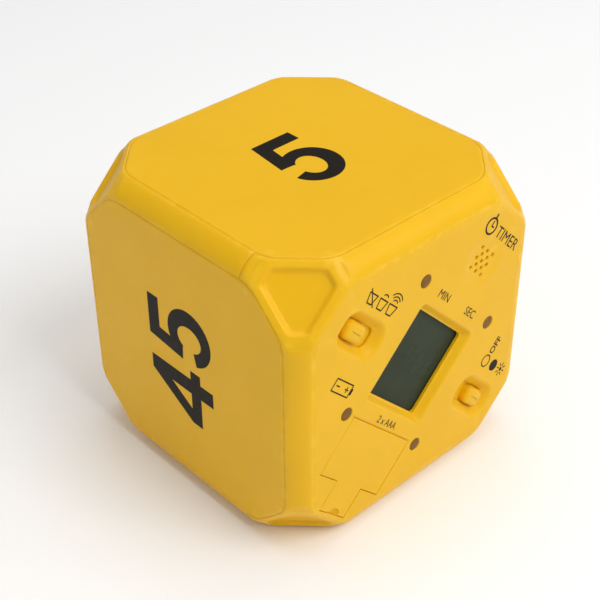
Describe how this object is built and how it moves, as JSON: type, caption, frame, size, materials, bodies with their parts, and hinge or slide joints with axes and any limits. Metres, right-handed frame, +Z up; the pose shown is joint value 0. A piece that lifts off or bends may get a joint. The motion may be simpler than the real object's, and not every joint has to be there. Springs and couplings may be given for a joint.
{
  "type": "cube timer",
  "caption": "Yellow cube timer: turning a numbered face up starts a countdown. Rotated square display, slide switches for sound and power, sound holes and a battery door.",
  "frame": {"origin": "middle of the bottom face, on the surface that the timer stands on", "axes": "+Z up through the face numbered 5, -Y out of the display face, -X out of the face numbered 45"},
  "size_m": [0.0636, 0.0636, 0.0635],
  "materials": {
    "yellow_abs": "satin",
    "smoked_window": "clear smoked",
    "display_film": "satin",
    "display_glass": "polished",
    "rubber_connector": "matt",
    "white_plastic": "matt",
    "board_green": "solder mask",
    "black_plastic": "matt",
    "steel": "plain",
    "led_epoxy": "clear",
    "cell_jacket": "printed film",
    "red_wire": "satin",
    "black_wire": "satin"
  },
  "bodies": {
    "case": {"housing": "yellow_abs", "front_cover": "yellow_abs", "light_window_top": "smoked_window", "light_window_right": "smoked_window", "light_window_bottom": "smoked_window", "light_window_left": "smoked_window", "lcd_polariser": "display_film", "lcd_reflector": "display_film", "lcd_front_glass": "display_glass", "lcd_rear_glass": "display_glass", "zebra_strip_upper": "rubber_connector", "zebra_strip_lower": "rubber_connector", "lcd_frame": "white_plastic", "circuit_board": "board_green", "controller_chip": "black_plastic", "crystal": "steel", "capacitor": "black_plastic", "led_top": "led_epoxy", "led_right": "led_epoxy", "led_bottom": "led_epoxy", "led_left": "led_epoxy", "buzzer_case": "black_plastic", "buzzer_diaphragm": "steel", "buzzer_base": "black_plastic", "volume_switch": "steel", "power_switch": "steel", "tilt_sensor_case": "black_plastic", "tilt_sensor_lid": "black_plastic", "battery_tray": "black_plastic", "battery_left": "cell_jacket", "battery_right": "cell_jacket", "positive_contact": "steel", "negative_contact": "steel", "negative_spring": "steel", "battery_wire_red": "red_wire", "battery_wire_black": "black_wire", "board_screw_1": "steel", "board_screw_2": "steel", "board_screw_3": "steel", "board_screw_4": "steel", "tray_screw_1": "steel", "tray_screw_2": "steel"},
    "battery_door": {"battery_door": "yellow_abs", "bridge_contact": "steel", "bridge_spring": "steel"},
    "volume_slider": {"volume_knob": "yellow_abs", "volume_lever": "black_plastic"},
    "power_slider": {"power_knob": "yellow_abs", "power_lever": "black_plastic"},
    "tilt_ball": {"tilt_sensor_ball": "steel"}
  },
  "joints": [
    {"name": "door_hinge", "type": "hinge", "parent": "case", "child": "battery_door", "pos_m": [-0.00997, -0.03175, 0.02178], "axis": [-0.7071, 0, 0.7071], "range_deg": [0, 40]},
    {"name": "volume_slide", "type": "slide", "parent": "case", "child": "volume_slider", "axis": [0.7071, 0, -0.7071], "range_m": [0, 0.003]},
    {"name": "power_slide", "type": "slide", "parent": "case", "child": "power_slider", "axis": [0.7071, 0, -0.7071], "range_m": [-0.003, 0]},
    {"name": "tilt_ball_roll", "type": "slide", "parent": "case", "child": "tilt_ball", "axis": [0, 0, 1], "range_m": [0, 0.0016]}
  ]
}
